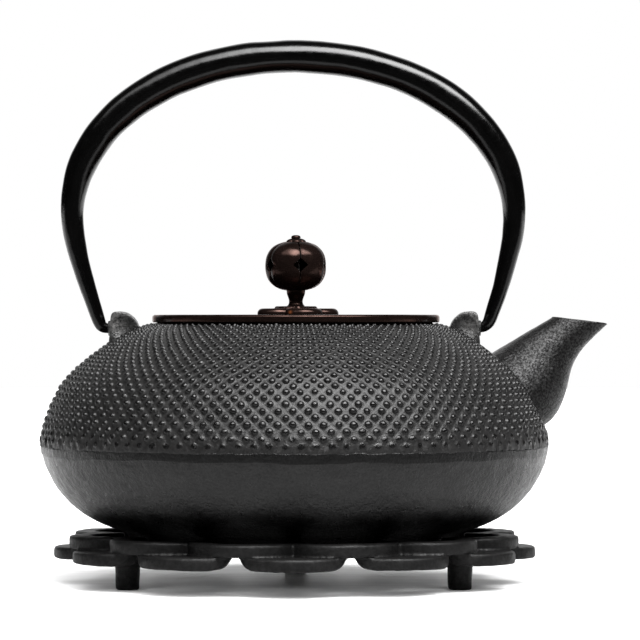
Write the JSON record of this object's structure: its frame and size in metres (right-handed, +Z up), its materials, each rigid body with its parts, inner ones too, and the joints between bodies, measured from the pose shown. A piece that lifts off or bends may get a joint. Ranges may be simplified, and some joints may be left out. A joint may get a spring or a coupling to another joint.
{
  "type": "cast iron kettle on a trivet",
  "caption": "Flat round cast-iron kettle with a hailstone-studded shoulder, folding bail handle and lift-off copper lid with a bud knob, on a petal trivet with feet.",
  "frame": {"origin": "on the table plane, halfway between the spout's tip and the back of the body", "axes": "+Z up along the body's axis, +X from the body to the spout, +Y to the back, away from the side usually shown"},
  "size_m": [0.2052, 0.184, 0.1972],
  "materials": {
    "cast_iron_studded": "black satin cast iron with a fine grain, small round studs over the upper half",
    "cast_iron_matt": "black matt cast iron with soft sand-cast edges",
    "black_lacquered_iron": "glossy black lacquer baked over forged iron",
    "patinated_copper": "polished copper coloured to a dark chocolate brown",
    "bare_copper": "thin brown patina over copper, inside the lid"
  },
  "bodies": {
    "trivet": {"trivet": "cast_iron_matt"},
    "pot": {"pot_body": "cast_iron_studded"},
    "bail": {"handle": "black_lacquered_iron"},
    "lid": {"lid_plate": "patinated_copper", "lid_collar": "bare_copper", "lid_washer": "bare_copper", "knob_seat": "patinated_copper", "knob_stem": "patinated_copper", "knob_shell": "patinated_copper", "knob_cap": "patinated_copper", "knob_rivet": "patinated_copper"}
  },
  "joints": [
    {"name": "lift_pot", "type": "slide", "parent": "trivet", "child": "pot", "axis": [0, 0, 1], "range_m": [0, 0.06]},
    {"name": "fold_bail", "type": "hinge", "parent": "pot", "child": "bail", "pos_m": [-0.0106, 0, 0.0926], "axis": [1, 0, 0], "range_deg": [-104, 104]},
    {"name": "lift_lid", "type": "slide", "parent": "pot", "child": "lid", "axis": [0, 0, 1], "range_m": [0, 0.05]}
  ]
}
